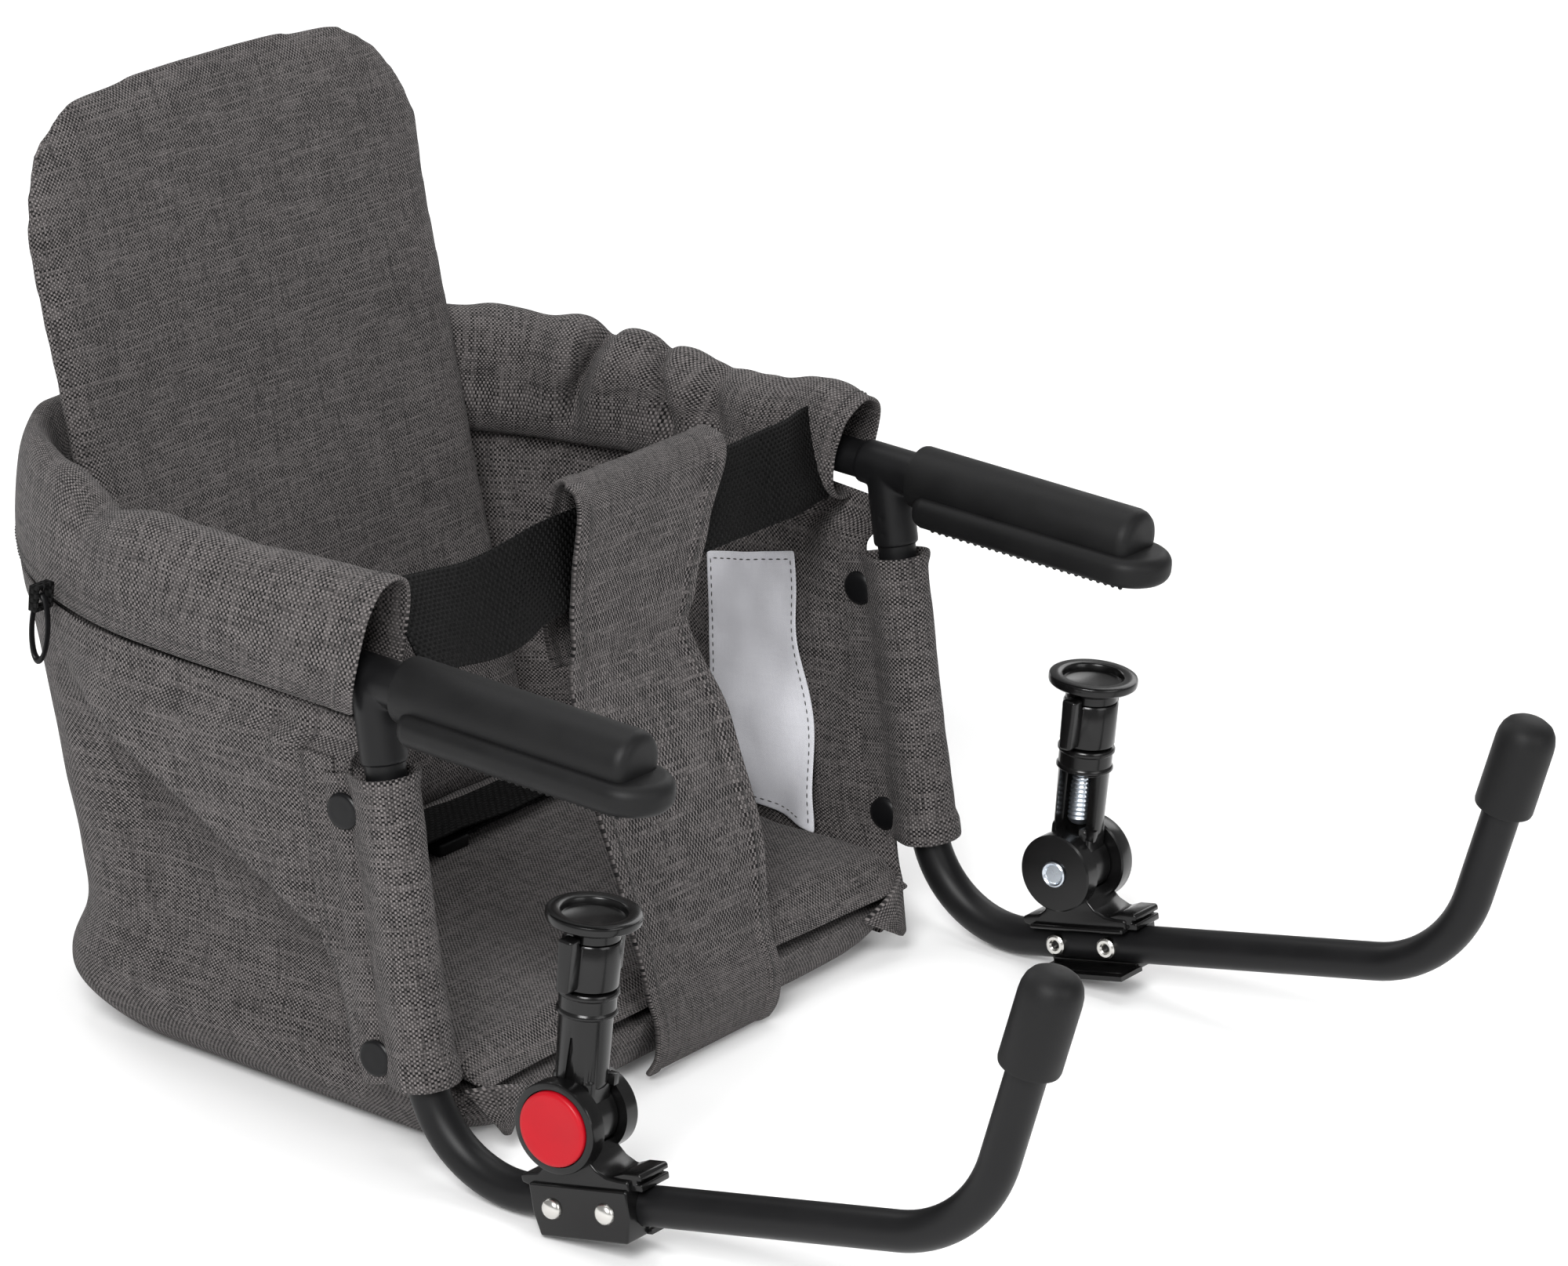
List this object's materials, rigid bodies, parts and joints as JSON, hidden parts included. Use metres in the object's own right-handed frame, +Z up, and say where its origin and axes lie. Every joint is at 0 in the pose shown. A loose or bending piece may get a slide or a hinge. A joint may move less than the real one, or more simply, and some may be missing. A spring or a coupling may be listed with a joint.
{
  "type": "hook-on table chair",
  "caption": "Fabric child seat on a bent tube frame that hooks onto a table edge: rubber arms rest on top, and folding screw clamps press up from below.",
  "frame": {"origin": "middle of the flat seat underside, at floor level", "axes": "+X is the chair's right seen from the front, the arms point to -Y, +Z is up"},
  "size_m": [0.389, 0.5653, 0.3568],
  "materials": {
    "tube": "satin black powder coat",
    "moulding": "moulded black, semi gloss",
    "rubber": "matte black",
    "zinc": "bright zinc plate",
    "red": "satin red",
    "cloth": "woven melange grey",
    "webbing": "black woven webbing",
    "snap": "black lacquer",
    "label": "white woven label, blank"
  },
  "bodies": {
    "frame": {"rear_rail": "tube", "left_lower_tube": "tube", "left_tee": "moulding", "left_grip": "rubber", "left_tip_cap": "rubber", "left_bracket": "moulding", "left_bolt_rear": "zinc", "left_bolt_front": "zinc", "left_pivot_pin": "zinc", "left_side_panel": "cloth", "left_hem": "cloth", "left_sleeve": "cloth", "left_snap_upper": "snap", "left_snap_lower": "snap", "right_lower_tube": "tube", "right_tee": "moulding", "right_grip": "rubber", "right_tip_cap": "rubber", "right_bracket": "moulding", "right_bolt_rear": "zinc", "right_bolt_front": "zinc", "right_pivot_pin": "zinc", "right_side_panel": "cloth", "right_hem": "cloth", "right_sleeve": "cloth", "right_snap_upper": "snap", "right_snap_lower": "snap", "seat_base": "cloth", "seat_pad": "cloth", "rear_panel": "cloth", "rear_hem": "cloth", "crotch_panel": "cloth", "waist_belt": "webbing", "harness_strap": "webbing", "ring_tab": "webbing", "strap_buckle": "snap", "label": "label"},
    "backrest_body": {"backrest": "cloth"},
    "ring_body": {"hanging_ring": "snap"},
    "left_post_body": {"left_post": "moulding"},
    "left_lift_body": {"left_table_pad": "moulding"},
    "left_screw_body": {"left_knob": "moulding", "left_screw_rod": "zinc"},
    "left_button_body": {"left_release_button": "red"},
    "right_post_body": {"right_post": "moulding"},
    "right_lift_body": {"right_table_pad": "moulding"},
    "right_screw_body": {"right_knob": "moulding", "right_screw_rod": "zinc"},
    "right_button_body": {"right_release_button": "red"}
  },
  "joints": [
    {"name": "left_post_fold", "type": "hinge", "parent": "frame", "child": "left_post_body", "pos_m": [-0.176, -0.1615, 0.0485], "axis": [1, 0, 0], "range_deg": [0, 74]},
    {"name": "left_pad_rise", "type": "slide", "parent": "left_post_body", "child": "left_lift_body", "axis": [0, 0, 1], "range_m": [0, 0.03]},
    {"name": "left_knob_turn", "type": "hinge", "parent": "left_lift_body", "child": "left_screw_body", "pos_m": [-0.176, -0.1615, 0.11], "axis": [0, 0, 1], "range_deg": [0, 5402]},
    {"name": "left_button_press", "type": "slide", "parent": "frame", "child": "left_button_body", "axis": [1, 0, 0], "range_m": [0, 0.0025], "stiffness_N_per_m": 400},
    {"name": "right_post_fold", "type": "hinge", "parent": "frame", "child": "right_post_body", "pos_m": [0.176, -0.1615, 0.0485], "axis": [1, 0, 0], "range_deg": [0, 74]},
    {"name": "right_pad_rise", "type": "slide", "parent": "right_post_body", "child": "right_lift_body", "axis": [0, 0, 1], "range_m": [0, 0.03]},
    {"name": "right_knob_turn", "type": "hinge", "parent": "right_lift_body", "child": "right_screw_body", "pos_m": [0.176, -0.1615, 0.11], "axis": [0, 0, 1], "range_deg": [0, 5402]},
    {"name": "right_button_press", "type": "slide", "parent": "frame", "child": "right_button_body", "axis": [-1, 0, 0], "range_m": [0, 0.0025], "stiffness_N_per_m": 400},
    {"name": "backrest_fold", "type": "hinge", "parent": "frame", "child": "backrest_body", "pos_m": [0, 0.07634, 0.0405], "axis": [1, 0, 0], "range_deg": [0, 40]},
    {"name": "ring_swing", "type": "hinge", "parent": "frame", "child": "ring_body", "pos_m": [-0.18936, 0.1005, 0.1907], "axis": [0, 1, 0], "range_deg": [0, 60]}
  ],
  "couplings": [
    {"joint": "left_knob_turn", "follows": "left_pad_rise", "rad_per_m": 3141.6},
    {"joint": "right_knob_turn", "follows": "right_pad_rise", "rad_per_m": 3141.6}
  ]
}
